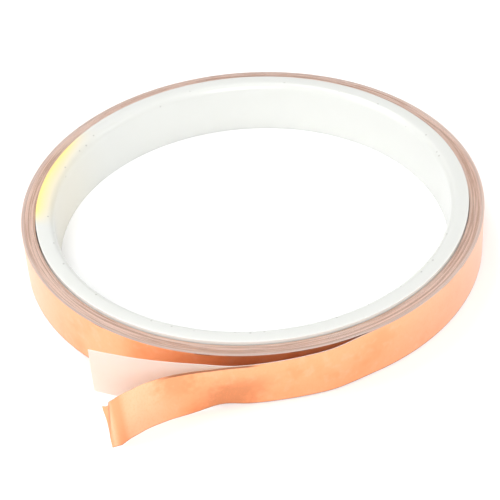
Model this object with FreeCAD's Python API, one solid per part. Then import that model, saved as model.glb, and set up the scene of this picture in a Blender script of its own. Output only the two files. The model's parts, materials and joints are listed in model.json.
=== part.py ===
"""Copper foil tape roll.

A moulded ring core carries a narrow tape, wound clockwise as seen from above, that has three
layers: a paper release liner on the inside, a film of adhesive, and copper foil on the outside.
The tape's outer end has been started: it stands off the roll as a lead, and past the lead the foil
and the liner have been peeled apart into two loose tails.

Millimetres. The origin is at the centre of the core's bore, half way along it. +Z is along the
bore and up, and the loose end lies on the -Y side. The roll rests on the core's lower face.
"""
import FreeCAD, Part
import math
import os

# Core: a ring, whose bore is that of a standard 3 inch tape core. It stands proud of the tape.
BORE_RADIUS = 38.1
CORE_WALL = 3.5
CORE_PROUD_ABOVE = 0.7
CORE_PROUD_BELOW = 0.3
CORE_BORE_ROUND = 1.0
CORE_RIM_ROUND = 0.3

# Tape: its width, and its three layers from the inside out.
TAPE_WIDTH = 10.0
LINER_THICKNESS = 0.090
ADHESIVE_THICKNESS = 0.030
FOIL_THICKNESS = 0.035

# Starter tab: the piece of yellow tape that holds the tape's inner end to the core.
TAB_THICKNESS = 0.06
TAB_FIRST_ANGLE = 141.0
TAB_LAST_ANGLE = 184.0

# Winding: the angles about the bore where it starts and where the outer end leaves the roll.
WINDING_START_ANGLE = 160.0
LIFT_OFF_ANGLE = -62.0
FULL_WRAPS = 17
STANDOFF_LENGTH = 7.0

# Loose end: runs of (radius, turn), where a turn is in degrees and positive bends off the roll.
LEAD_BENDS = [(20.0, -14.0), (66.0, -12.5)]
FOIL_BENDS = [(46.0, 14.5), (26.0, 22.0)]
FOIL_STRAIGHT = 1.8
FOIL_CREASE = (0.8, 12.0)
FOIL_TIP = 1.3
FOIL_END_SKEW = 0.5
LINER_PEEL_ANGLE = 3.0
LINER_BENDS = [(44.0, -10.5), (100.0, -10.5)]
BEND_GAP = 0.12

# Worked out from the sizes above.
CORE_RADIUS = BORE_RADIUS + CORE_WALL
CORE_WIDTH = TAPE_WIDTH + CORE_PROUD_ABOVE + CORE_PROUD_BELOW
TAPE_BOTTOM = -CORE_WIDTH / 2 + CORE_PROUD_BELOW
TAPE_TOP = TAPE_BOTTOM + TAPE_WIDTH
ADHESIVE_INSIDE = LINER_THICKNESS
FOIL_INSIDE = LINER_THICKNESS + ADHESIVE_THICKNESS
PITCH = LINER_THICKNESS + ADHESIVE_THICKNESS + FOIL_THICKNESS
LAYERS = {
    "liner": (0.0, ADHESIVE_INSIDE),
    "adhesive": (ADHESIVE_INSIDE, FOIL_INSIDE),
    "foil": (FOIL_INSIDE, PITCH),
}


def direction(angle):
    """The unit vector at an angle in degrees from +X, in the XY plane."""
    turned = math.radians(angle)
    return FreeCAD.Vector(math.cos(turned), math.sin(turned), 0)


class Run:
    """One stretch of the tape's inner line, seen from above: straight, or one tangent arc.

    The roll is on the right of the line, so the tape's outer face is on its left.
    """

    def __init__(self, start, heading, length=0.0, radius=0.0, turn=0.0):
        self.start = start
        self.heading = heading
        self.length = length
        self.radius = radius
        self.turn = turn

    def point(self, share, offset):
        """The point at a share of the run, at an offset from the line towards the outer face."""
        if not self.radius:
            along = direction(self.heading) * (self.length * share)
            return self.start + along + direction(self.heading + 90) * offset
        side = math.copysign(1.0, self.turn)
        centre = self.start + direction(self.heading + 90) * (side * self.radius)
        outward = direction(self.heading + self.turn * share + 90)
        return centre - outward * (side * self.radius - offset)

    def edge(self, offset):
        """The run's line or arc at an offset."""
        first, last = self.point(0, offset), self.point(1, offset)
        if not self.radius:
            return Part.LineSegment(first, last).toShape()
        return Part.Arc(first, self.point(0.5, offset), last).toShape()


def straight(length):
    return {"length": length}


def bend(radius, turn):
    return {"radius": radius, "turn": turn}


def lay(start, heading, stretches):
    """Runs laid end to end from a point, each tangent to the one before."""
    runs = []
    for stretch in stretches:
        run = Run(start, heading, **stretch)
        runs.append(run)
        start, heading = run.point(1, 0), heading + run.turn
    return runs


def end_of(runs):
    """The point and the heading at the end of a list of runs."""
    last = runs[-1]
    return last.point(1, 0), last.heading + last.turn


def skip_gap(start, heading):
    """The start of the next body, past the gap that a bend needs."""
    return start + direction(heading) * BEND_GAP


def strip(runs, layer):
    """One layer of the tape, standing on edge along the runs."""
    inner, outer = LAYERS[layer]
    near = [run.edge(inner) for run in runs]
    far = [run.edge(outer) for run in runs]
    caps = [
        Part.LineSegment(runs[0].point(0, inner), runs[0].point(0, outer)).toShape(),
        Part.LineSegment(runs[-1].point(1, inner), runs[-1].point(1, outer)).toShape(),
    ]
    outline = Part.Wire(near + [caps[1]] + far[::-1] + [caps[0]])
    face = Part.Face(outline)
    face.translate(FreeCAD.Vector(0, 0, TAPE_BOTTOM))
    return face.extrude(FreeCAD.Vector(0, 0, TAPE_WIDTH))


def make_core():
    """The ring: a rectangle with rounded corners, turned about Z."""
    low, high = -CORE_WIDTH / 2, CORE_WIDTH / 2

    def at(radius, height):
        return FreeCAD.Vector(radius, 0, height)

    # Each corner: its place, its round, and the ways to its two neighbours.
    corners = [
        (BORE_RADIUS, low, CORE_BORE_ROUND, (0, 1), (1, 0)),
        (CORE_RADIUS, low, CORE_RIM_ROUND, (-1, 0), (0, 1)),
        (CORE_RADIUS, high, CORE_RIM_ROUND, (0, -1), (-1, 0)),
        (BORE_RADIUS, high, CORE_BORE_ROUND, (1, 0), (0, -1)),
    ]
    arcs = []
    for radius, height, rounding, before, after in corners:
        pull = rounding * (1 - math.sqrt(0.5))
        arcs.append(Part.Arc(
            at(radius + before[0] * rounding, height + before[1] * rounding),
            at(radius + (before[0] + after[0]) * pull, height + (before[1] + after[1]) * pull),
            at(radius + after[0] * rounding, height + after[1] * rounding),
        ))
    edges = []
    for arc, following in zip(arcs, arcs[1:] + arcs[:1]):
        edges += [arc.toShape(), Part.LineSegment(arc.EndPoint, following.StartPoint).toShape()]
    profile = Part.Face(Part.Wire(edges))
    return profile.revolve(FreeCAD.Vector(), FreeCAD.Vector(0, 0, 1), 360)


def make_tab():
    """The starter tab, lying on the core's rim under the first wrap."""
    middle = (TAB_FIRST_ANGLE + TAB_LAST_ANGLE) / 2

    def arc(radius):
        return Part.Arc(*[direction(angle) * radius
                          for angle in (TAB_FIRST_ANGLE, middle, TAB_LAST_ANGLE)])

    near, far = arc(CORE_RADIUS), arc(CORE_RADIUS + TAB_THICKNESS)
    outline = Part.Wire([
        near.toShape(),
        Part.LineSegment(near.EndPoint, far.EndPoint).toShape(),
        far.toShape(),
        Part.LineSegment(far.StartPoint, near.StartPoint).toShape(),
    ])
    face = Part.Face(outline)
    face.translate(FreeCAD.Vector(0, 0, TAPE_BOTTOM))
    return face.extrude(FreeCAD.Vector(0, 0, TAPE_WIDTH))


def half_turns(first, last):
    """The winding's arcs between two total turns: its radius grows by half a pitch each half turn."""
    smallest = CORE_RADIUS + TAB_THICKNESS + PITCH / 4
    stretches = []
    while first < last:
        count = int(first // 180)
        reached = min(180.0 * (count + 1), last)
        stretches.append(bend(smallest + PITCH / 2 * count, first - reached))
        first = reached
    return stretches


def wind():
    """The runs of the inner wraps, and those of the outer wrap with the straight that stands off."""
    turned = 360.0 * FULL_WRAPS + WINDING_START_ANGLE - LIFT_OFF_ANGLE
    start = direction(WINDING_START_ANGLE) * (CORE_RADIUS + TAB_THICKNESS)
    inner = lay(start, WINDING_START_ANGLE - 90, half_turns(0.0, turned - 360))
    outer = lay(*end_of(inner), half_turns(turned - 360, turned) + [straight(STANDOFF_LENGTH)])
    return inner, outer


def skewed_end(runs):
    """What a slanted cut takes off the end of a strip, which stays full length at its top."""
    end, heading = end_of(runs)
    along, across = direction(heading), direction(heading + 90)
    reach = FOIL_END_SKEW + PITCH
    corners = [(0.0, TAPE_TOP), (-FOIL_END_SKEW, TAPE_BOTTOM), (reach, TAPE_BOTTOM), (reach, TAPE_TOP)]
    points = [end + along * s + FreeCAD.Vector(0, 0, z) - across * reach for s, z in corners]
    face = Part.Face(Part.makePolygon(points + points[:1]))
    return face.extrude(across * (2 * reach))


def main():
    inner_wraps, outer_wrap = wind()
    lift_point, lift_heading = end_of(outer_wrap)
    lead = lay(skip_gap(lift_point, lift_heading), lift_heading,
               [bend(*each) for each in LEAD_BENDS])
    peel_point, peel_heading = end_of(lead)
    tail_start = skip_gap(peel_point, peel_heading)
    foil_tail = lay(tail_start, peel_heading,
                    [bend(*each) for each in FOIL_BENDS]
                    + [straight(FOIL_STRAIGHT), bend(*FOIL_CREASE), straight(FOIL_TIP)])
    liner_tail = lay(tail_start, peel_heading - LINER_PEEL_ANGLE,
                     [bend(*each) for each in LINER_BENDS])

    nodes = {"core": make_core(), "starter_tab": make_tab()}
    for layer in LAYERS:
        nodes["wound_" + layer] = strip(inner_wraps, layer)
        nodes["outer_wrap_" + layer] = strip(outer_wrap, layer)
        nodes["lead_" + layer] = strip(lead, layer)
    offcut = skewed_end(foil_tail)
    for layer in ("adhesive", "foil"):
        nodes["tail_" + layer] = strip(foil_tail, layer).cut(offcut)
    nodes["tail_liner"] = strip(liner_tail, "liner")

    os.makedirs("parts", exist_ok=True)
    for name, shape in nodes.items():
        solids = shape.Solids
        print(name, "solids", len(solids), "valid", shape.isValid(), "mm3", round(shape.Volume, 3))
        shape.exportStep(os.path.join("parts", name + ".step"))

    for name, (point, heading), depth in (
        ("lead_lift", (lift_point, lift_heading), PITCH),
        ("foil_peel", (peel_point, peel_heading), PITCH),
        ("liner_peel", (peel_point, peel_heading), 0.0),
    ):
        axis = point + direction(heading) * (BEND_GAP / 2) + direction(heading + 90) * depth
        print(name, "axis at x %.4f y %.4f" % (axis.x, axis.y))
    runs = inner_wraps + outer_wrap + lead + foil_tail
    length = sum(run.length or math.radians(abs(run.turn)) * run.radius for run in runs)
    print("length of the foil", round(length, 1))


main()
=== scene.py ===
"""The looks of a copper foil tape roll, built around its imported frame.

Metres, in the frame's own axes: the origin is at the centre of the core's bore, +Z is up, and the
loose end of the tape lies on the -Y side. Sizes given in the comments are in millimetres.
"""
import json
import math

import bpy
import numpy as np
from bpy.props import FloatProperty, FloatVectorProperty, IntProperty, PointerProperty
from mathutils import Matrix, Vector


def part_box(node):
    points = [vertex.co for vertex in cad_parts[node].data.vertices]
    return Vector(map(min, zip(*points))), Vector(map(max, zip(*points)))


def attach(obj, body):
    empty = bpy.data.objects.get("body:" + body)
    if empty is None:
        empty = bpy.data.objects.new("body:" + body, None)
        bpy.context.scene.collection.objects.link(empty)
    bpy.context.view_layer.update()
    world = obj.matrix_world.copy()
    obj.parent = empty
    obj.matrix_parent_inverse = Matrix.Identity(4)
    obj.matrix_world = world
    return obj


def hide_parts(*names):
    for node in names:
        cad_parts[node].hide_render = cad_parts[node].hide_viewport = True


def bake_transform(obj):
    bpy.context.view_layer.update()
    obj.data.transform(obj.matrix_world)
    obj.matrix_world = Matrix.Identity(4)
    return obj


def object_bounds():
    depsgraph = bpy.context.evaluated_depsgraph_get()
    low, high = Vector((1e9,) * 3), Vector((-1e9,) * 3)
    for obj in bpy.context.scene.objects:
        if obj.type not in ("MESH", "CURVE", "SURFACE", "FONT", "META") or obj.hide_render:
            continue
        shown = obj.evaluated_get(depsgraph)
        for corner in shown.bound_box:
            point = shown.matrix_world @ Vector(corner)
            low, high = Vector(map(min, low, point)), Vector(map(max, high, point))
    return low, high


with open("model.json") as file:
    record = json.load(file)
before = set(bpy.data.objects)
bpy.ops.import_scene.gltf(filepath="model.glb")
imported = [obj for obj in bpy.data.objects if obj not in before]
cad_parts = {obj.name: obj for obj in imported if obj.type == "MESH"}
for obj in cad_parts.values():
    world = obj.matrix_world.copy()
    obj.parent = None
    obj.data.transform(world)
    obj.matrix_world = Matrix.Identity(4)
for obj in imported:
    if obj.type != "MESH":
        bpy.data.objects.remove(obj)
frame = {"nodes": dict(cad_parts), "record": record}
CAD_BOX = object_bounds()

bl_info = {
    "name": "Copper Foil Tape Roll",
    "version": (1, 0, 0),
    "blender": (4, 5, 0),
    "location": "View3D > Sidebar > Foil Roll",
    "description": "Builds a roll of copper foil tape, with its loose end, around a packed frame",
    "category": "Add Mesh",
}

MM = 0.001

# Places that the frame gives.
CORE_LOW, CORE_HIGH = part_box("core")
TAPE_LOW, TAPE_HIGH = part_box("outer_wrap_foil")
BORE = next(mount for mount in frame["record"]["mounts"] if mount["name"] == "bore")


# How finely the turned and wound pieces are divided.
CORE_SEGMENTS = 384
POINTS_PER_WRAP = 300

# Edges that bend more than these are drawn sharp.
STRIP_CREASE = math.radians(50)
WRAP_CREASE = math.radians(40)

# How fast the height of the wraps' edges wanders, in steps of noise for each radian, and the
# last stretch of the winding, in radians, over which it dies away.
WANDER_RATE = 0.55
SETTLE_ANGLE = 0.6


# ---------------------------------------------------------------- settings

class CoreSettings(bpy.types.PropertyGroup):
    """The moulded ring that the tape is wound on."""

    bore_radius: FloatProperty(
        name="Bore Radius", description="Radius of the hole through the core",
        default=BORE["dims"]["r_mm"] * MM, unit="LENGTH")
    rim_radius: FloatProperty(
        name="Rim Radius", description="Outer radius of the core, which the tape is wound on",
        default=CORE_HIGH.x, unit="LENGTH")
    bore_round: FloatProperty(
        name="Bore Round", description="Radius of the rounded upper edge of the bore",
        default=1.4 * MM, unit="LENGTH")
    foot_round: FloatProperty(
        name="Foot Round", description="Radius of the rounded lower edge of the bore",
        default=0.12 * MM, unit="LENGTH")
    rim_round: FloatProperty(
        name="Rim Round", description="Radius of the rounded edges of the rim",
        default=0.04 * MM, unit="LENGTH")
    plastic: FloatVectorProperty(
        name="Plastic", description="Colour of the moulded plastic", subtype="COLOR",
        min=0.0, max=1.0, default=(0.622, 0.630, 0.605))
    tab_glow: FloatVectorProperty(
        name="Tab Glow", description="Colour of the starter tab, where it shows through the core",
        subtype="COLOR", min=0.0, max=1.0, default=(0.90, 0.675, 0.21))


class TapeSettings(bpy.types.PropertyGroup):
    """The three layers of the tape and how they are wound."""

    liner: FloatProperty(
        name="Liner Thickness", description="Thickness of the paper release liner",
        default=0.090 * MM, unit="LENGTH")
    adhesive: FloatProperty(
        name="Adhesive Thickness", description="Thickness of the film of adhesive",
        default=0.030 * MM, unit="LENGTH")
    foil: FloatProperty(
        name="Foil Thickness", description="Thickness of the copper foil",
        default=0.035 * MM, unit="LENGTH")
    first_radius: FloatProperty(
        name="First Radius", description="Inner radius of the first wrap",
        default=41.66 * MM, unit="LENGTH")
    first_angle: FloatProperty(
        name="First Angle", description="Angle about the bore where the first wrap starts",
        default=math.radians(160.0), subtype="ANGLE")
    lift_angle: FloatProperty(
        name="Lift Angle", description="Angle about the bore where the tape leaves the roll",
        default=math.radians(-62.0), subtype="ANGLE")
    wraps: IntProperty(
        name="Full Wraps", description="Whole turns of tape between the first and the lift angle",
        default=17, min=1)
    edge_play: FloatProperty(
        name="Edge Play", description="How far a wrap's edge may stand above or below its place",
        default=0.05 * MM, unit="LENGTH")
    seed: IntProperty(
        name="Seed", description="Seed of the uneven edges of the wraps", default=7)
    copper: FloatVectorProperty(
        name="Copper", description="Colour of the bright copper foil", subtype="COLOR",
        min=0.0, max=1.0, default=(0.97, 0.425, 0.21))
    paper: FloatVectorProperty(
        name="Paper", description="Colour of the release liner", subtype="COLOR",
        min=0.0, max=1.0, default=(0.97, 0.92, 0.86))
    glue: FloatVectorProperty(
        name="Glue", description="Colour of the film of adhesive", subtype="COLOR",
        min=0.0, max=1.0, default=(0.80, 0.50, 0.36))


class LooseEndSettings(bpy.types.PropertyGroup):
    """The lead that stands off the roll, and the two tails that are peeled apart."""

    lean: FloatProperty(
        name="Lean", description="How far the lead's top edge stands further out than its bottom edge",
        default=1.0 * MM, unit="LENGTH")
    crimp: FloatProperty(
        name="Crimp", description="How far the bottom edge of the foil is pushed up where it is crimped",
        default=0.55 * MM, unit="LENGTH")
    end_skew: FloatProperty(
        name="End Skew", description="How much shorter the foil's end is at its bottom edge",
        default=0.5 * MM, unit="LENGTH")
    corner_length: FloatProperty(
        name="Corner Length", description="Length of the foil's top end corner that is bent",
        default=1.45 * MM, unit="LENGTH")
    corner_bend: FloatProperty(
        name="Corner Bend", description="How far the foil's top end corner is bent out",
        default=0.7 * MM, unit="LENGTH")
    bend_reach: FloatProperty(
        name="Bend Reach", description="Length of tape that a bend at a hinge is spread over",
        default=8.0 * MM, unit="LENGTH")


class StageSettings(bpy.types.PropertyGroup):
    """The floor, the light and the camera."""

    floor: FloatVectorProperty(
        name="Floor", description="Colour of the floor", subtype="COLOR",
        min=0.0, max=1.0, default=(0.96, 0.96, 0.96))
    surround: FloatProperty(
        name="Surround", description="Strength of the even white light from all round",
        default=0.62, min=0.0)
    target: FloatVectorProperty(
        name="Target", description="Point that the camera looks at", subtype="XYZ",
        default=(-0.92 * MM, -15.78 * MM, 4.8 * MM), unit="LENGTH")
    distance: FloatProperty(
        name="Distance", description="Distance from the camera to its target",
        default=291.2 * MM, unit="LENGTH")
    elevation: FloatProperty(
        name="Elevation", description="Angle of the camera above the horizon",
        default=math.radians(39.27), subtype="ANGLE")
    roll: FloatProperty(
        name="Roll", description="Angle that the camera is turned about its line of sight",
        default=math.radians(-3.7), subtype="ANGLE")
    lens: FloatProperty(
        name="Lens", description="Focal length of the camera, in millimetres",
        default=113.2, min=1.0)


# ---------------------------------------------------------------- nodes

class Value:
    """A node's output. Sums and products of it add Math nodes to its tree."""

    def __init__(self, tree, socket):
        self.tree = tree
        self.socket = socket

    def __add__(self, other):
        return self.tree.math("ADD", self, other)

    def __radd__(self, other):
        return self.tree.math("ADD", other, self)

    def __sub__(self, other):
        return self.tree.math("SUBTRACT", self, other)

    def __rsub__(self, other):
        return self.tree.math("SUBTRACT", other, self)

    def __mul__(self, other):
        return self.tree.math("MULTIPLY", self, other)

    def __rmul__(self, other):
        return self.tree.math("MULTIPLY", other, self)

    def __truediv__(self, other):
        return self.tree.math("DIVIDE", self, other)

    def __rtruediv__(self, other):
        return self.tree.math("DIVIDE", other, self)

    def __pow__(self, other):
        return self.tree.math("POWER", self, other)

    def __abs__(self):
        return self.tree.math("ABSOLUTE", self)


class Tree:
    """A node tree, to which add() adds every kind of node."""

    def __init__(self, nodes, links):
        self.nodes = nodes
        self.links = links

    def add(self, kind, settings=None, sockets=None, output=0):
        """Adds a node. settings are set first, and sockets hold values or links by name or number."""
        node = self.nodes.new(kind)
        for name, setting in (settings or {}).items():
            if name == "stops":
                self.set_stops(node.color_ramp, setting)
            else:
                setattr(node, name, setting)
        for key, value in (sockets or {}).items():
            if isinstance(value, Value):
                self.links.new(value.socket, node.inputs[key])
            else:
                node.inputs[key].default_value = value
        return Value(self, node.outputs[output]) if node.outputs else node

    def set_stops(self, ramp, stops):
        """Gives a ramp its stops, each a place and a grey or a colour."""
        while len(ramp.elements) > 1:
            ramp.elements.remove(ramp.elements[-1])
        for count, (place, shade) in enumerate(stops):
            stop = ramp.elements[0] if not count else ramp.elements.new(place)
            stop.position = place
            colour = (shade,) * 3 if isinstance(shade, (int, float)) else tuple(shade)
            stop.color = (*colour, 1.0)

    def math(self, operation, *terms):
        """A Math node on values or numbers."""
        return self.add("ShaderNodeMath", {"operation": operation}, dict(enumerate(terms)))

    def other(self, value, name):
        """Another output of the node that a value comes from."""
        return Value(self, value.socket.node.outputs[name])

    def mix(self, factor, first, second, blend="MIX"):
        """Two colours mixed."""
        settings = {"data_type": "RGBA", "blend_type": blend}
        return self.add("ShaderNodeMix", settings, {
            0: factor, 6: self.colour(first), 7: self.colour(second)}, 2)

    @staticmethod
    def colour(value):
        """A linked colour as it is, or three numbers with an alpha of 1."""
        return value if isinstance(value, Value) else (*value[:3], 1.0)

    def ramp(self, factor, low, high, ease="SMOOTHSTEP"):
        """0 below low and 1 above high, easing between them. low may be above high."""
        return self.add("ShaderNodeMapRange", {"interpolation_type": ease}, {
            0: factor, 1: low, 2: high, 3: 0.0, 4: 1.0})

    def noise(self, place, scale, detail=2.0, roughness=0.5):
        """Soft noise from 0 to 1."""
        return self.add("ShaderNodeTexNoise", {}, {
            "Vector": place, "Scale": scale, "Detail": detail, "Roughness": roughness}, "Fac")

    def stretched(self, place, scale):
        """Coordinates scaled along each axis."""
        return self.add("ShaderNodeVectorMath", {"operation": "MULTIPLY"}, {0: place, 1: scale})


class Surface(Tree):
    """A material's tree, with its Principled shader."""

    def __init__(self, name, **constants):
        self.material = bpy.data.materials.new(name)
        self.material.use_nodes = True
        tree = self.material.node_tree
        tree.nodes.clear()
        super().__init__(tree.nodes, tree.links)
        self.shader = self.nodes.new("ShaderNodeBsdfPrincipled")
        for socket, value in constants.items():
            self.shader.inputs[socket.replace("_", " ")].default_value = value
        self.look = Value(self, self.shader.outputs[0])
        self.output = self.add("ShaderNodeOutputMaterial", {}, {"Surface": self.look})
        place = self.add("ShaderNodeTexCoord", output="Object")
        self.place = self.stretched(place, (1 / MM,) * 3)

    def drive(self, socket, value):
        """Links one of the shader's own sockets."""
        self.links.new(value.socket, self.shader.inputs[socket])

    def bump(self, height, strength, distance):
        """Links a Bump node to the shader's normal. distance is the height's unit, in metres."""
        self.drive("Normal", self.add("ShaderNodeBump", {}, {
            "Strength": strength, "Distance": distance, "Height": height}))

    def let_through(self, share, colour):
        """Lets a share of the light through to the other side."""
        thin = self.add("ShaderNodeBsdfTranslucent", {}, {"Color": self.colour(colour)})
        mixed = self.add("ShaderNodeMixShader", {}, {0: share, 1: self.look, 2: thin})
        self.links.new(mixed.socket, self.output.inputs["Surface"])

    def tape_map(self):
        """Millimetres along the tape and up its width, from the piece's own map."""
        found = self.add("ShaderNodeUVMap", {"uv_map": "tape"})
        split = self.add("ShaderNodeSeparateXYZ", {}, {0: found})
        return found, split, self.other(split, "Y")


# ---------------------------------------------------------------- finishes

def plastic_finish(core, tape_top):
    """Slightly translucent white plastic, tinted where the starter tab lies behind it."""
    look = Surface("moulded_plastic", IOR=1.49, Subsurface_Weight=0.5,
                   Subsurface_Radius=(1.0, 1.0, 0.9), Subsurface_Scale=1.6 * MM,
                   Coat_Weight=0.4, Coat_Roughness=0.1)
    split = look.add("ShaderNodeSeparateXYZ", {}, {0: look.place})
    x, y, z = split, look.other(split, "Y"), look.other(split, "Z")
    radius = (x * x + y * y) ** 0.5
    angle = look.math("ARCTAN2", y * -1.0, x * -1.0)
    # The tab lies -39 to 4 degrees from the -X direction. Its glow fades at both ends, and is
    # weaker and more blurred nearer the bore.
    depth = look.ramp(radius, core.bore_radius / MM, core.rim_radius / MM, "LINEAR")
    blur = (1.0 - depth) * math.radians(4.0)
    first = look.ramp(angle, math.radians(-39.5) - blur, math.radians(-27.5) + blur * 4.0)
    last = look.ramp(angle, blur + math.radians(7.2), math.radians(0.2) - blur)
    glow = first * last * (0.14 + depth ** 1.5 * 0.86)
    mottle = look.noise(look.place, 0.35, 3.0)
    plain = look.mix(mottle, [c * 0.985 for c in core.plastic], core.plastic)
    tinted = look.mix(glow, plain, core.tab_glow)
    # Painted shade: a darker band round the outer face of the rim, below the top face.
    rim_painted_shade = look.ramp(radius, core.rim_radius / MM - 0.12, core.rim_radius / MM - 0.02)
    rim_painted_shade = rim_painted_shade * look.ramp(z, CORE_HIGH.z / MM - 0.03, CORE_HIGH.z / MM - 0.1)
    tinted = look.mix(rim_painted_shade * 0.35, tinted, (0.56, 0.52, 0.49))
    # Moulding specks on the upper edge of the bore, with more of them towards the front.
    cells = look.add("ShaderNodeTexVoronoi", {}, {"Vector": look.place, "Scale": 0.8}, "Distance")
    chosen = look.add("ShaderNodeSeparateXYZ", {}, {0: look.other(cells, "Color")})
    speck = look.ramp(cells, 0.19, 0.12) * look.ramp(chosen - y * 0.006, 0.55, 0.57)
    ring = look.ramp(abs(radius - (core.bore_radius / MM + 0.7)), 0.9, 0.6)
    top = look.ramp(z, tape_top / MM - 0.6, tape_top / MM)
    look.drive("Base Color", look.mix(speck * ring * top * 0.6, tinted, (0.30, 0.29, 0.27)))
    fine = look.noise(look.place, 3.0, 3.0)
    look.drive("Roughness", 0.26 + fine * 0.14)
    look.bump(fine, 0.25, 0.02 * MM)
    return look.material


def cut_edges(look, shade, pale, dark, loose):
    """The slit edges of the tape: dull and streaked in the roll, and cleaner on the loose end."""
    cut = look.add("ShaderNodeAttribute", {"attribute_name": "cut_edge"}, output="Fac")
    split = look.add("ShaderNodeSeparateXYZ", {}, {0: look.place})
    x, y = split, look.other(split, "Y")
    radius = (x * x + y * y) ** 0.5
    turned = look.add("ShaderNodeCombineXYZ", {}, {0: x / radius * 2.5, 1: y / radius * 2.5,
                                                   2: radius * 3.6})
    streak = look.ramp(look.noise(turned, 1.0, 4.0, 0.65), 0.40, 0.60)
    worn = look.mix(streak, dark, pale)
    # The outermost wraps are greyer, and past the edge of the roll the tape is loose.
    greyed = look.mix(look.ramp(radius, 43.6, 44.2) * 0.5, worn, (0.66, 0.52, 0.46))
    edge = look.mix(look.ramp(radius, 44.6, 45.1), greyed, loose)
    return cut, look.mix(cut, shade, edge)


def painted_end_bands(look, along, shade, dull, bright):
    """Painted highlights and painted shade in upright bands towards the foil's cut end."""
    stops = ((0.0, 0.95), (0.25, 0.85), (0.42, 0.95), (0.56, 0.75), (0.66, 0.18), (0.76, 0.22),
             (0.83, 1.0), (0.88, 0.35), (1.0, 0.10))
    highlight_shade_band = look.add("ShaderNodeValToRGB", {"stops": stops}, {0: (along - 40.0) / 12.0})
    near_end = look.ramp(along, 34.0, 44.0) * look.ramp(along, 53.0, 52.0)
    return look.mix(near_end * 0.9, shade, look.mix(highlight_shade_band, dull, bright))


def crimped_patch(look, along, up, uneven):
    """Where the foil is rougher and has painted shade, low down by the crimp."""
    patch = look.ramp(abs(along - 27.0 + (uneven - 0.5) * 6.0 + (up - 4.0) * 0.6), 8.5, 1.5)
    return patch * look.ramp(up + uneven * 3.0, 10.0, 5.5)


def upper_deeper_patch(look, along, up, uneven):
    """Where the upper half of the foil is a deeper, darker orange."""
    mark = look.ramp(abs(along - 37.0 + (uneven - 0.5) * 8.0), 6.0, 0.5)
    return mark * look.ramp(up + uneven * 3.0, 3.5, 9.0)


def dark_edges(look, along, up):
    """Burrs along the slit edges, painted shade in a line below the top edge where the foil has opened
    from the liner, a bottom edge darkened partly by burrs and partly by a painted contact shadow, and
    painted shade in the fold of the bent corner.
    """
    burr = look.ramp(look.noise(look.place, 0.12, 2.0), 0.46, 0.56)
    burr = burr * look.ramp(along, 60.0, 80.0)
    opened_gap_shade = look.ramp(along, 22.0, 25.0) * look.ramp(along, 41.0, 37.0)
    upper = look.ramp(up, 9.80, 9.93) * burr + look.ramp(up, 9.42, 9.64) * opened_gap_shade
    lower = look.ramp(up, 0.24, 0.06)
    fold_shade = look.ramp(along, 51.0, 51.2) * look.ramp(along, 53.0, 52.0) * look.ramp(up, 8.0, 8.8)
    return upper + lower * 0.7 + fold_shade


def copper_finish(tape):
    """Bright rolled copper foil: rolling lines, smudges, dull slit edges, a wrinkled loose end, a deeper
    orange patch high up, and painted light and shade: a paler side, bands by the cut end, a crimped
    patch and dark lines along the edges.

    Its marks lie at millimetres along the tape and up its width. On the loose end these count
    from where it leaves the roll. On the wound foil they count from the core, so the loose end's
    own marks could only meet its first wrap, which is hidden.
    """
    look = Surface("rolled_copper", IOR=1.5, Coat_Roughness=0.3, Coat_IOR=1.45)
    uv, along, up = look.tape_map()
    smudge = look.noise(look.place, 0.16, 3.0, 0.55)
    blotch = look.noise(look.place, 0.5, 2.0, 0.5)
    uneven = look.noise(look.place, 0.8, 3.0, 0.6)
    rolled = look.noise(look.stretched(uv, (0.08, 7.0, 1.0)), 1.0, 3.0)
    grain = look.noise(look.stretched(uv, (2.6, 1.3, 1.0)), 1.0, 3.0, 0.7)
    patch = crimped_patch(look, along, up, uneven)

    red, green, blue = tape.copper
    deep = (red * 0.95, green * 0.80, blue * 0.68)
    pale = (red, green * 1.20, blue * 1.45)
    shade = look.mix(look.ramp(smudge, 0.45, 0.75) * 0.8, tape.copper, deep)
    shade = look.mix(look.ramp(blotch, 0.50, 0.72) * 0.4, shade, pale)
    # Painted light: the foil is paler and pinker towards +X.
    painted_light_side = look.ramp(look.add("ShaderNodeSeparateXYZ", {}, {0: look.place}), 16.0, 36.0)
    shade = look.mix(painted_light_side * 0.5, shade, (red, green * 1.18, blue * 1.55))
    # Painted highlights and shade in bands by the cut end.
    shade = painted_end_bands(look, along, shade, deep, (red, green * 1.33, blue * 1.68))
    # Painted shade over the crimped patch, which is also rougher.
    shade = look.mix(patch * 0.85, shade, (red * 0.64, green * 0.61, blue * 0.50))
    shade = look.mix(upper_deeper_patch(look, along, up, uneven) * 0.7, shade,
                     (red * 0.82, green * 0.66, blue * 0.54))
    shade = look.mix(look.ramp(grain, 0.45, 0.75) * 0.3, shade, deep)
    # Burrs, and painted shade along the edges and in the fold.
    shade = look.mix(dark_edges(look, along, up) * 0.9, shade, (0.24, 0.095, 0.045))
    cut, shade = cut_edges(look, shade, (0.76, 0.48, 0.35), (0.50, 0.27, 0.19), (0.66, 0.34, 0.20))
    look.drive("Base Color", shade)
    look.drive("Metallic", 1.0 - cut * 0.6)
    look.drive("Roughness", 0.25 + blotch * 0.12 + rolled * 0.06 + patch * 0.1 + cut * 0.3)
    look.drive("Coat Weight", 0.55 - cut * 0.55)

    handled = look.ramp(along, 12.0, 22.0) * look.ramp(along, 53.0, 52.0)
    wrinkle = look.noise(look.stretched(uv, (1.0, 1.4, 1.0)), 2.4, 3.0, 0.6)
    ridges = rolled * 0.3 + look.noise(look.place, 1.3, 2.0) + wrinkle * handled * 1.5
    look.bump(ridges, 0.4, 0.03 * MM)
    return look.material


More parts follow.
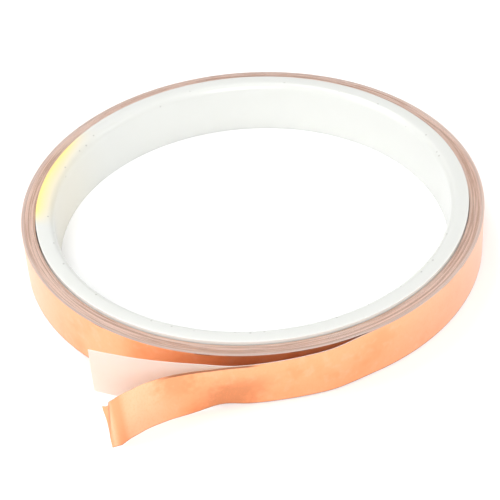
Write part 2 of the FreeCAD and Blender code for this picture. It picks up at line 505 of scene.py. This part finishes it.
def paper_finish(tape):
    """Smooth glazed paper, thin enough to let light through, with a fine fibre grain."""
    look = Surface("release_paper", IOR=1.45, Subsurface_Weight=0.8,
                   Subsurface_Radius=(1.0, 0.8, 0.65), Subsurface_Scale=0.6 * MM)
    fibre = look.noise(look.stretched(look.place, (3.0, 3.0, 9.0)), 1.0, 4.0, 0.6)
    cloud = look.noise(look.place, 0.4, 2.0)
    shade = look.mix(cloud, [c * 0.98 for c in tape.paper], tape.paper)
    shade = look.mix(fibre * 0.25, shade, [c * 0.95 for c in tape.paper])
    cut, shade = cut_edges(look, shade, (0.92, 0.62, 0.50), (0.60, 0.35, 0.26), (0.90, 0.82, 0.75))
    look.drive("Base Color", shade)
    look.drive("Roughness", 0.48 + fibre * 0.15 + cut * 0.2)
    look.bump(fibre, 0.3, 0.01 * MM)
    look.let_through((1.0 - cut) * 0.66, (0.98, 0.95, 0.90))
    return look.material


def glue_finish(tape):
    """A film of acrylic adhesive on the back of the foil, uneven and slightly wet."""
    look = Surface("acrylic_adhesive", IOR=1.47, Coat_Roughness=0.2)
    cloud = look.noise(look.place, 0.6, 3.0)
    shade = look.mix(cloud, [c * 0.85 for c in tape.glue], tape.glue)
    cut, shade = cut_edges(look, shade, (0.60, 0.36, 0.27), (0.40, 0.21, 0.15), (0.40, 0.20, 0.12))
    look.drive("Base Color", shade)
    look.drive("Roughness", 0.35 + cloud * 0.2 + cut * 0.2)
    look.drive("Coat Weight", 0.3 - cut * 0.3)
    return look.material


def film_finish():
    """The yellow plastic film of the starter tab."""
    look = Surface("yellow_film", IOR=1.5, Coat_Weight=0.2)
    cloud = look.noise(look.place, 1.2, 2.0)
    look.drive("Base Color", look.mix(cloud, (0.86, 0.60, 0.10), (0.93, 0.68, 0.14)))
    look.drive("Roughness", 0.3 + cloud * 0.1)
    return look.material


# ---------------------------------------------------------------- shapes

def add_piece(name, mesh, material):
    """An object at the origin for a mesh, with its one material."""
    piece = bpy.data.objects.new(name, mesh)
    bpy.context.scene.collection.objects.link(piece)
    piece.data.materials.clear()
    piece.data.materials.append(material)
    return piece


def ring_mesh(name, profile, segments):
    """A closed profile of (radius, height) points turned about Z."""
    rows = len(profile)
    radii, heights = np.array(profile).T
    turns = np.arange(segments) * (2 * math.pi / segments)
    points = np.stack([
        np.outer(np.cos(turns), radii),
        np.outer(np.sin(turns), radii),
        np.tile(heights, (segments, 1)),
    ], axis=-1).reshape(-1, 3)
    faces = []
    for turn in range(segments):
        here, there = turn * rows, (turn + 1) % segments * rows
        for row in range(rows):
            above = (row + 1) % rows
            faces.append((here + row, there + row, there + above, here + above))
    mesh = bpy.data.meshes.new(name)
    mesh.from_pydata(points.tolist(), [], faces)
    mesh.shade_smooth()
    mesh.validate()
    return mesh


def rounded_corner(radius, height, rounding, start_angle, steps):
    """Points of a quarter round, given its centre, from an angle counterclockwise."""
    angles = start_angle + np.linspace(0, math.pi / 2, steps + 1)
    return [(radius + rounding * math.cos(a), height + rounding * math.sin(a)) for a in angles]


class TapeLine:
    """The line of the tape's inner face, seen from above, past the point where it leaves the roll.

    It is made of stretches, each (length, turn): a turn is in degrees, and positive turns away from
    the roll. Where two stretches meet, the curve is eased over a short way.
    """

    STEP = 0.05 * MM
    EASE = 1.6 * MM

    def __init__(self, start, heading, stretches):
        bends = []
        for length, turn in stretches:
            count = max(int(round(length / self.STEP)), 1)
            bends += [math.radians(turn) / count] * count
        half = int(self.EASE / self.STEP / 2)
        window = np.hanning(2 * half + 3)[1:-1]
        padded = np.concatenate([[bends[0]] * half, bends, [bends[-1]] * half])
        eased = np.convolve(padded, window / window.sum(), mode="valid")
        turns = heading + np.concatenate([[0.0], np.cumsum(eased)])
        middle = (turns[1:] + turns[:-1]) / 2
        steps = np.stack([np.cos(middle), np.sin(middle)], axis=-1) * self.STEP
        self.places = np.concatenate([[start], np.array(start) + np.cumsum(steps, axis=0)])
        self.turns = turns
        self.stations = np.arange(len(turns)) * self.STEP
        self.length = self.stations[-1]

    def at(self, stations):
        """Places and outward normals at distances along the line."""
        x = np.interp(stations, self.stations, self.places[:, 0])
        y = np.interp(stations, self.stations, self.places[:, 1])
        heading = np.interp(stations, self.stations, self.turns)
        return np.stack([x, y], axis=-1), np.stack([-np.sin(heading), np.cos(heading)], axis=-1)


def eased(value, low, high):
    """0 below low and 1 above high, with a smooth step between."""
    share = np.clip((value - low) / (high - low), 0.0, 1.0)
    return share * share * (3 - 2 * share)


def strip_mesh(name, sheet, inside, outside):
    """A thin closed strip between two offsets of a sheet.

    sheet holds a grid of places, one of unit normals, and one of (along, up) in millimetres.
    """
    places, normals, tape_map = sheet
    columns, rows = places.shape[:2]
    layers = [places + normals * offset for offset in (inside, outside)]
    points = np.concatenate([layer.reshape(-1, 3) for layer in layers])
    maps = np.concatenate([tape_map.reshape(-1, 2)] * 2)
    back = columns * rows

    def number(column, row, layer):
        return layer * back + column * rows + row

    faces = []
    for column in range(columns - 1):
        for row in range(rows - 1):
            corners = [(column, row), (column + 1, row), (column + 1, row + 1), (column, row + 1)]
            faces.append([number(*corner, 0) for corner in corners])
            faces.append([number(*corner, 1) for corner in corners[::-1]])
    broad = len(faces)
    rim = [(column, 0) for column in range(columns)]
    rim += [(columns - 1, row) for row in range(1, rows)]
    rim += [(column, rows - 1) for column in range(columns - 2, -1, -1)]
    rim += [(0, row) for row in range(rows - 2, 0, -1)]
    for here, there in zip(rim, rim[1:] + rim[:1]):
        faces.append([number(*there, 0), number(*here, 0), number(*here, 1), number(*there, 1)])
    mesh = bpy.data.meshes.new(name)
    mesh.from_pydata(points.tolist(), [], faces)
    mesh.shade_smooth()
    mesh.set_sharp_from_angle(angle=STRIP_CREASE)
    layer = mesh.uv_layers.new(name="tape")
    loops = np.zeros(len(mesh.loops), dtype=int)
    mesh.loops.foreach_get("vertex_index", loops)
    layer.data.foreach_set("uv", maps[loops].astype(np.float32).ravel())
    cut = mesh.attributes.new("cut_edge", "FLOAT", "FACE")
    cut.data.foreach_set("value", [float(face >= broad) for face in range(len(faces))])
    mesh.validate()
    return mesh


# ---------------------------------------------------------------- the wound tape

def winding_tree(material):
    """Geometry nodes that wind one layer of the tape on the core."""
    group = bpy.data.node_groups.new("wound_layer", "GeometryNodeTree")
    sockets = (
        ("First Radius", "NodeSocketFloat"), ("Pitch", "NodeSocketFloat"),
        ("Inside", "NodeSocketFloat"), ("Outside", "NodeSocketFloat"),
        ("First Angle", "NodeSocketFloat"), ("Turned", "NodeSocketFloat"),
        ("Points", "NodeSocketInt"), ("Middle", "NodeSocketFloat"),
        ("Width", "NodeSocketFloat"), ("Edge Play", "NodeSocketFloat"),
        ("Seed", "NodeSocketFloat"),
    )
    for name, kind in sockets:
        group.interface.new_socket(name, in_out="INPUT", socket_type=kind)
    group.interface.new_socket("Geometry", in_out="OUTPUT", socket_type="NodeSocketGeometry")
    tree = Tree(group.nodes, group.links)
    first = tree.add("NodeGroupInput")
    given = {name: tree.other(first, name) for name, _ in sockets}

    line = tree.add("GeometryNodeCurvePrimitiveLine")
    points = tree.add("GeometryNodeResampleCurve", {}, {"Curve": line, "Count": given["Points"]})
    share = tree.add("GeometryNodeInputIndex") / (given["Points"] - 1.0)
    turned = share * given["Turned"]
    angle = given["First Angle"] - turned
    radius = (given["First Radius"] + given["Pitch"] * turned / (2 * math.pi)
              + (given["Inside"] + given["Outside"]) / 2.0)
    wander = tree.add("ShaderNodeTexNoise", {"noise_dimensions": "1D"}, {
        "W": turned * WANDER_RATE + given["Seed"], "Scale": 1.0, "Detail": 2.0})
    settle = tree.ramp(given["Turned"] - turned, 0.0, SETTLE_ANGLE)
    height = given["Middle"] + (wander - 0.5) * given["Edge Play"] * 2.0 * settle
    place = tree.add("ShaderNodeCombineXYZ", {}, {
        0: radius * tree.math("COSINE", angle), 1: radius * tree.math("SINE", angle), 2: height})
    wound = tree.add("GeometryNodeSetPosition", {}, {"Geometry": points, "Position": place})
    wound = tree.add("GeometryNodeStoreNamedAttribute", {"data_type": "FLOAT", "domain": "POINT"}, {
        "Geometry": wound, "Name": "along", "Value": turned * radius / MM})
    upright = tree.add("GeometryNodeSetCurveNormal", {"mode": "Z_UP"}, {"Curve": wound})
    section = tree.add("GeometryNodeCurvePrimitiveQuadrilateral", {}, {
        "Width": given["Outside"] - given["Inside"], "Height": given["Width"]})
    swept = tree.add("GeometryNodeCurveToMesh", {}, {
        "Curve": upright, "Profile Curve": section, "Fill Caps": True})
    corner = tree.math("GREATER_THAN", tree.add("GeometryNodeInputMeshEdgeAngle"), WRAP_CREASE)
    smooth = tree.add("GeometryNodeSetShadeSmooth", {"domain": "FACE"}, {
        "Geometry": swept, "Shade Smooth": True})
    edged = tree.add("GeometryNodeSetShadeSmooth", {"domain": "EDGE"}, {
        "Geometry": smooth, "Selection": corner, "Shade Smooth": False})
    facing = tree.add("ShaderNodeSeparateXYZ", {}, {0: tree.add("GeometryNodeInputNormal")})
    cut = tree.add("GeometryNodeStoreNamedAttribute", {"data_type": "FLOAT", "domain": "FACE"}, {
        "Geometry": edged, "Name": "cut_edge", "Value": abs(tree.other(facing, "Z"))})
    along = tree.add("GeometryNodeInputNamedAttribute", {"data_type": "FLOAT"}, {"Name": "along"})
    spot = tree.add("ShaderNodeSeparateXYZ", {}, {0: tree.add("GeometryNodeInputPosition")})
    low = given["Middle"] - given["Width"] / 2.0
    mapped = tree.add("ShaderNodeCombineXYZ", {}, {
        0: along, 1: (tree.other(spot, "Z") - low) / MM})
    charted = tree.add("GeometryNodeStoreNamedAttribute", {
        "data_type": "FLOAT2", "domain": "CORNER"}, {
        "Geometry": cut, "Name": "tape", "Value": mapped})
    real = tree.add("GeometryNodeRealizeInstances", {}, {0: charted})
    finished = tree.add("GeometryNodeSetMaterial", {}, {"Geometry": real, "Material": material})
    tree.add("NodeGroupOutput", {}, {0: finished})
    return group


def grow(name, group, values):
    """The plain mesh that a geometry tree makes with these values."""
    maker = bpy.data.objects.new(name, bpy.data.meshes.new(name))
    bpy.context.scene.collection.objects.link(maker)
    modifier = maker.modifiers.new("grow", "NODES")
    modifier.node_group = group
    known = {item.name: item.identifier for item in group.interface.items_tree}
    for label, value in values.items():
        modifier[known[label]] = value
    bpy.context.view_layer.update()
    evaluated = maker.evaluated_get(bpy.context.evaluated_depsgraph_get())
    mesh = bpy.data.meshes.new_from_object(evaluated)
    maker.modifiers.clear()
    bpy.data.objects.remove(maker)
    if not mesh.polygons:
        raise RuntimeError("no faces were made for " + name)
    mesh.name = name
    return mesh


def pitch(tape):
    """The thickness of all three layers, which each wrap adds to the radius."""
    return tape.liner + tape.adhesive + tape.foil


def wound_angle(tape):
    """How far the tape turns about the bore, from its first angle to where it leaves the roll."""
    return math.pi * 2 * tape.wraps + tape.first_angle - tape.lift_angle


def layer_offsets(tape):
    """The inner and outer offset of each layer from the tape's inner face."""
    glue = tape.liner
    foil = glue + tape.adhesive
    return {"liner": (0.0, glue), "adhesive": (glue, foil), "foil": (foil, foil + tape.foil)}


def finishes(tape):
    """The material and the record's slot of each layer, made once."""
    made = {}
    for layer, slot, name, make in (
        ("liner", "liner_paper", "release_paper", paper_finish),
        ("adhesive", "adhesive", "acrylic_adhesive", glue_finish),
        ("foil", "copper_foil", "rolled_copper", copper_finish),
    ):
        made[layer] = (bpy.data.materials.get(name) or make(tape), slot)
    return made


# ---------------------------------------------------------------- the loose end

# The length that stands off the roll before the first hinge, in millimetres.
STANDOFF = 7.0
# Stretches of the tape's line, as (length in millimetres, turn in degrees).
LEAD_STRETCHES = ((STANDOFF, 0.0), (4.89, -14.0), (14.4, -12.5))
FOIL_STRETCHES = ((11.64, 14.5), (9.98, 22.0), (3.15, 0.0))
LINER_STRETCHES = ((0.5, -3.0), (8.06, -10.5), (18.3, -10.5))
# Where the lead's strips end and the tails' strips begin, short of the hinge that peels them.
STRIP_SPLIT = 17.0 * MM
# The crimp's middle along the tape and its reach either way, in millimetres, and the share of
# its lift that also draws the tape inwards.
CRIMP_PLACE = 29.5
CRIMP_REACH = 3.2
CRIMP_DRAW = 0.35
# How far the top and the bottom edge of the foil stand out of the tape's line, as shares of the
# lean, and how far the strip sags, as (distance along, top, bottom, sag). The distance and the
# sag are in millimetres.
FOIL_STOPS = (
    (0.0, 0.0, 0.0, 0.0), (5.0, 0.05, -0.05, 0.0), (11.0, 0.25, -0.25, 0.0),
    (18.0, 0.42, -0.42, 0.0), (24.0, 0.5, -0.5, 0.0), (31.0, 0.42, -0.42, 0.05),
    (38.0, -0.35, -0.08, 0.2), (43.0, -0.6, 0.05, 0.25), (47.0, -0.6, 0.3, 0.25),
    (49.3, -0.6, 0.5, 0.2), (51.4, -0.5, 0.1, -0.1),
)


def tape_line(tape, tail):
    """The tape's line from where it leaves the roll to the end of one of its tails."""
    radius = tape.first_radius + pitch(tape) * wound_angle(tape) / (2 * math.pi)
    start = (radius * math.cos(tape.lift_angle), radius * math.sin(tape.lift_angle))
    stretches = [(length * MM, turn) for length, turn in LEAD_STRETCHES + tail]
    return TapeLine(start, tape.lift_angle - math.pi / 2, stretches)


def unit_normals(places):
    """Unit normals of a grid of places, pointing to the left of its columns' order."""
    along = np.gradient(places, axis=0)
    up = np.gradient(places, axis=1)
    across = np.cross(up, along)
    return across / np.linalg.norm(across, axis=-1, keepdims=True)


def tape_sheet(line, first, last, shape, step=0.25 * MM, rows=21):
    """A sheet of tape standing on edge between two distances along a line.

    shape(along, up) gives, from grids of the distance and of the share of the width, the tape's own
    distance along the line, how far it is pushed out, and how far it is lifted.
    """
    columns = int(round((last - first) / step)) + 1
    along, up = np.meshgrid(np.linspace(first, last, columns), np.linspace(0, 1, rows), indexing="ij")
    stations, out, lift = shape(along, up)
    flat, outward = line.at(stations)
    width = TAPE_HIGH.z - TAPE_LOW.z
    places = np.concatenate([
        flat + outward * out[..., None],
        (TAPE_LOW.z + up * width + lift)[..., None],
    ], axis=-1)
    tape_map = np.stack([stations / MM, up * width / MM], axis=-1)
    return places, unit_normals(places), tape_map


def crimp_lift(loose, mm, up):
    """How far the bottom edge is pushed up by the crimp, at distances in millimetres."""
    return np.exp(-((mm - CRIMP_PLACE) / CRIMP_REACH) ** 2) * loose.crimp * (1 - up) ** 2


def lean(loose, mm, up):
    """How far the tape stands out of its line, and is lifted, at distances in millimetres."""
    stops = np.array(FOIL_STOPS)
    top, bottom, sag = (np.interp(mm, stops[:, 0], stops[:, column]) for column in (1, 2, 3))
    lift = crimp_lift(loose, mm, up) - sag * MM
    return (top * up + bottom * (1 - up)) * loose.lean - lift.clip(0) * CRIMP_DRAW, lift


def lead_shape(loose):
    """The lead leans out at its top."""
    def shape(along, up):
        return along, *lean(loose, along / MM, up)
    return shape


def foil_shape(loose, line):
    """The foil leans, is crimped at its bottom edge, and ends in a skewed cut with a bent corner."""
    def shape(along, up):
        mm = along / MM
        out, lift = lean(loose, mm, up)
        ends = eased(along, line.length - 6 * MM, line.length)
        stations = along - ends * loose.end_skew * (1 - up)
        # The bent corner: past a crease that runs from the top edge down to the end's lower corner.
        crease = line.length - loose.corner_length * up
        past = np.clip(along - crease, 0, None)
        flap = eased(past, 0, 0.7 * MM) * (1 - 0.65 * eased(past, 0.9 * MM, 1.5 * MM))
        out = out + flap * up * loose.corner_bend
        # Small ripples before the cut, and small facets low down from the crimp on.
        ripples = np.sin((mm - 44.0) * 1.5) * eased(mm, 40, 46) * (1 - eased(mm, 49, 51))
        facets = np.sin(mm * 1.1 + up * 5.0) * eased(mm, 26, 30) * (1 - eased(mm, 38, 42)) * (1 - up)
        return stations, out + ripples * 0.04 * MM + facets * 0.03 * MM, lift
    return shape


def liner_shape(loose):
    """The liner leaves the lean of the lead behind and stands upright."""
    def shape(along, up):
        mm = along / MM
        out, _ = lean(loose, mm, up)
        lift = crimp_lift(loose, mm, up)
        # The lean and the crimp fade out past the hinge, and the end sags a little.
        stays = 1 - eased(mm, 26.5, 34.0)
        return along, out * stays, lift * stays - 0.2 * MM * eased(mm, 32.0, 44.0)
    return shape


# ---------------------------------------------------------------- operators

class FOILROLL_OT_core(bpy.types.Operator):
    """Make the moulded core, and finish the starter tab under the first wrap"""

    bl_idname = "foilroll.core"
    bl_label = "Core"
    bl_options = {"REGISTER", "UNDO"}

    def execute(self, context):
        core = context.scene.foilroll_core
        low, high = CORE_LOW.z, CORE_HIGH.z
        quarter = math.pi / 2
        bore, rim = core.bore_radius, core.rim_radius
        soft, foot, crisp = core.bore_round, core.foot_round, core.rim_round
        profile = (
            rounded_corner(rim - crisp, high - crisp, crisp, 0, steps=4)
            + rounded_corner(bore + soft, high - soft, soft, quarter, steps=8)
            + rounded_corner(bore + foot, low + foot, foot, 2 * quarter, steps=6)
            + rounded_corner(rim - crisp, low + crisp, crisp, 3 * quarter, steps=4)
        )
        mesh = ring_mesh("core_ring", profile[::-1], CORE_SEGMENTS)
        piece = add_piece("core_ring", mesh, plastic_finish(core, TAPE_HIGH.z))
        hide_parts("core")
        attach(piece, "roll")
        tab = frame["nodes"]["starter_tab"]
        tab.data.materials.clear()
        tab.data.materials.append(film_finish())
        return {"FINISHED"}


class FOILROLL_OT_wound_tape(bpy.types.Operator):
    """Wind the liner, the adhesive and the foil on the core"""

    bl_idname = "foilroll.wound_tape"
    bl_label = "Wound Tape"
    bl_options = {"REGISTER", "UNDO"}

    def execute(self, context):
        tape = context.scene.foilroll_tape
        turned = wound_angle(tape)
        for layer, (material, slot) in finishes(tape).items():
            inside, outside = layer_offsets(tape)[layer]
            name = "wound_" + layer
            mesh = grow(name + "_wraps", winding_tree(material), {
                "First Radius": tape.first_radius,
                "Pitch": pitch(tape),
                "Inside": inside, "Outside": outside,
                "First Angle": tape.first_angle, "Turned": turned,
                "Points": int(turned / (2 * math.pi) * POINTS_PER_WRAP),
                "Middle": (TAPE_LOW.z + TAPE_HIGH.z) / 2,
                "Width": TAPE_HIGH.z - TAPE_LOW.z,
                "Edge Play": tape.edge_play, "Seed": float(tape.seed),
            })
            piece = add_piece(name + "_wraps", mesh, material)
            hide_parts(name, "outer_" + name.replace("wound", "wrap"))
            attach(piece, "roll")
        return {"FINISHED"}


class FOILROLL_OT_lead(bpy.types.Operator):
    """Lay the tape that stands off the roll with its layers still together"""

    bl_idname = "foilroll.lead"
    bl_label = "Lead"
    bl_options = {"REGISTER", "UNDO"}

    def execute(self, context):
        tape, loose = context.scene.foilroll_tape, context.scene.foilroll_loose
        line = tape_line(tape, FOIL_STRETCHES)
        sheet = tape_sheet(line, 0.0, STRIP_SPLIT, lead_shape(loose))
        outward = line.at(STANDOFF * MM)[1]
        for layer, (material, slot) in finishes(tape).items():
            mesh = strip_mesh("lead_%s_strip" % layer, sheet, *layer_offsets(tape)[layer])
            piece = add_piece(mesh.name, mesh, material)
            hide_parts("lead_" + layer)
            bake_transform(piece)
        return {"FINISHED"}


class FOILROLL_OT_foil_tail(bpy.types.Operator):
    """Lay the loose end of the foil, with the adhesive on its back"""

    bl_idname = "foilroll.foil_tail"
    bl_label = "Foil Tail"
    bl_options = {"REGISTER", "UNDO"}

    def execute(self, context):
        tape, loose = context.scene.foilroll_tape, context.scene.foilroll_loose
        line = tape_line(tape, FOIL_STRETCHES)
        sheet = tape_sheet(line, STRIP_SPLIT, line.length, foil_shape(loose, line))
        for layer in ("adhesive", "foil"):
            material, slot = finishes(tape)[layer]
            mesh = strip_mesh("loose_%s_strip" % layer, sheet, *layer_offsets(tape)[layer])
            piece = add_piece(mesh.name, mesh, material)
            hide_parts("tail_" + layer)
            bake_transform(piece)
        return {"FINISHED"}


class FOILROLL_OT_liner_tail(bpy.types.Operator):
    """Lay the loose end of the release liner"""

    bl_idname = "foilroll.liner_tail"
    bl_label = "Liner Tail"
    bl_options = {"REGISTER", "UNDO"}

    def execute(self, context):
        tape, loose = context.scene.foilroll_tape, context.scene.foilroll_loose
        line = tape_line(tape, LINER_STRETCHES)
        sheet = tape_sheet(line, STRIP_SPLIT, line.length, liner_shape(loose))
        material, slot = finishes(tape)["liner"]
        mesh = strip_mesh("loose_liner_strip", sheet, *layer_offsets(tape)["liner"])
        piece = add_piece(mesh.name, mesh, material)
        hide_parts("tail_liner")
        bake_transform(piece)
        return {"FINISHED"}


class FOILROLL_OT_stage(bpy.types.Operator):
    """Make the pale floor, the soft light and the camera"""

    bl_idname = "foilroll.stage"
    bl_label = "Stage"
    bl_options = {"REGISTER", "UNDO"}

    def execute(self, context):
        stage = context.scene.foilroll_stage
        self.make_floor(stage)
        self.make_light(context, stage)
        self.make_camera(context, stage)
        return {"FINISHED"}

    def make_floor(self, stage):
        mesh = bpy.data.meshes.new("floor")
        reach, level = 3.0, CAD_BOX[0].z
        corners = [(-reach, -reach), (reach, -reach), (reach, reach), (-reach, reach)]
        mesh.from_pydata([(x, y, level) for x, y in corners], [], [(0, 1, 2, 3)])
        floor = bpy.data.objects.new("floor", mesh)
        bpy.context.scene.collection.objects.link(floor)
        look = Surface("floor_card", Roughness=0.9, IOR=1.3)
        grain = look.noise(look.place, 0.02, 2.0)
        look.drive("Base Color", look.mix(grain, [c * 0.99 for c in stage.floor], stage.floor))
        mesh.materials.append(look.material)

    def make_light(self, context, stage):
        world = bpy.data.worlds.new("studio")
        world.use_nodes = True
        backdrop = world.node_tree.nodes["Background"]
        backdrop.inputs["Color"].default_value = (1.0, 1.0, 1.0, 1.0)
        backdrop.inputs["Strength"].default_value = stage.surround
        context.scene.world = world
        for name, place, size, power in (
            ("overhead_softbox", (-0.18, 0.28, 0.65), 0.28, 1.1),
            ("front_softbox", (0.05, -0.82, 0.58), 0.6, 6.8),
            ("left_softbox", (-0.60, -0.03, 0.45), 0.4, 2.4),
            ("right_softbox", (0.62, -0.05, 0.42), 0.4, 0.95),
        ):
            light = bpy.data.lights.new(name, "AREA")
            light.shape, light.size, light.energy = "DISK", size, power
            lamp = bpy.data.objects.new(name, light)
            lamp.location = place
            lamp.rotation_euler = Vector(place).to_track_quat("Z", "Y").to_euler()
            context.scene.collection.objects.link(lamp)

    def make_camera(self, context, stage):
        data = bpy.data.cameras.new("camera")
        data.sensor_width = 36.0
        data.lens = stage.lens
        data.clip_start, data.clip_end = 0.01, 10.0
        camera = bpy.data.objects.new("camera", data)
        context.scene.collection.objects.link(camera)
        forward = Vector((0.0, math.cos(stage.elevation), -math.sin(stage.elevation)))
        right, up = Vector((1.0, 0.0, 0.0)), Vector((0.0, math.sin(stage.elevation),
                                                     math.cos(stage.elevation)))
        cos, sin = math.cos(stage.roll), math.sin(stage.roll)
        turned = Matrix((right * cos + up * sin, up * cos - right * sin, -forward)).transposed()
        camera.matrix_world = (
            Matrix.Translation(Vector(stage.target) - forward * stage.distance)
            @ turned.to_4x4())
        context.scene.camera = camera
        context.scene.view_settings.view_transform = "Standard"


# ---------------------------------------------------------------- add-on

SETTINGS = {
    "foilroll_core": CoreSettings,
    "foilroll_tape": TapeSettings,
    "foilroll_loose": LooseEndSettings,
    "foilroll_stage": StageSettings,
}

OPERATORS = (
    FOILROLL_OT_stage,
    FOILROLL_OT_core,
    FOILROLL_OT_wound_tape,
    FOILROLL_OT_lead,
    FOILROLL_OT_foil_tail,
    FOILROLL_OT_liner_tail,
)


class FOILROLL_PT_pieces(bpy.types.Panel):
    """The pieces of the roll"""

    bl_idname = "FOILROLL_PT_pieces"
    bl_label = "Copper Foil Tape Roll"
    bl_space_type = "VIEW_3D"
    bl_region_type = "UI"
    bl_category = "Foil Roll"

    def draw(self, context):
        layout = self.layout
        for operator in OPERATORS:
            layout.operator(operator.bl_idname, text=operator.bl_label)
        for name in SETTINGS:
            group = getattr(context.scene, name)
            box = layout.box()
            for setting in group.__annotations__:
                box.prop(group, setting)


def register():
    for kind in (*SETTINGS.values(), *OPERATORS, FOILROLL_PT_pieces):
        bpy.utils.register_class(kind)
    for name, kind in SETTINGS.items():
        setattr(bpy.types.Scene, name, PointerProperty(type=kind))


def unregister():
    for name in SETTINGS:
        delattr(bpy.types.Scene, name)
    for kind in (FOILROLL_PT_pieces, *OPERATORS[::-1], *list(SETTINGS.values())[::-1]):
        bpy.utils.unregister_class(kind)


def main():
    register()
    for operator in OPERATORS:
        group, name = operator.bl_idname.split(".")
        getattr(getattr(bpy.ops, group), name)()


if __name__ == "__main__":
    main()
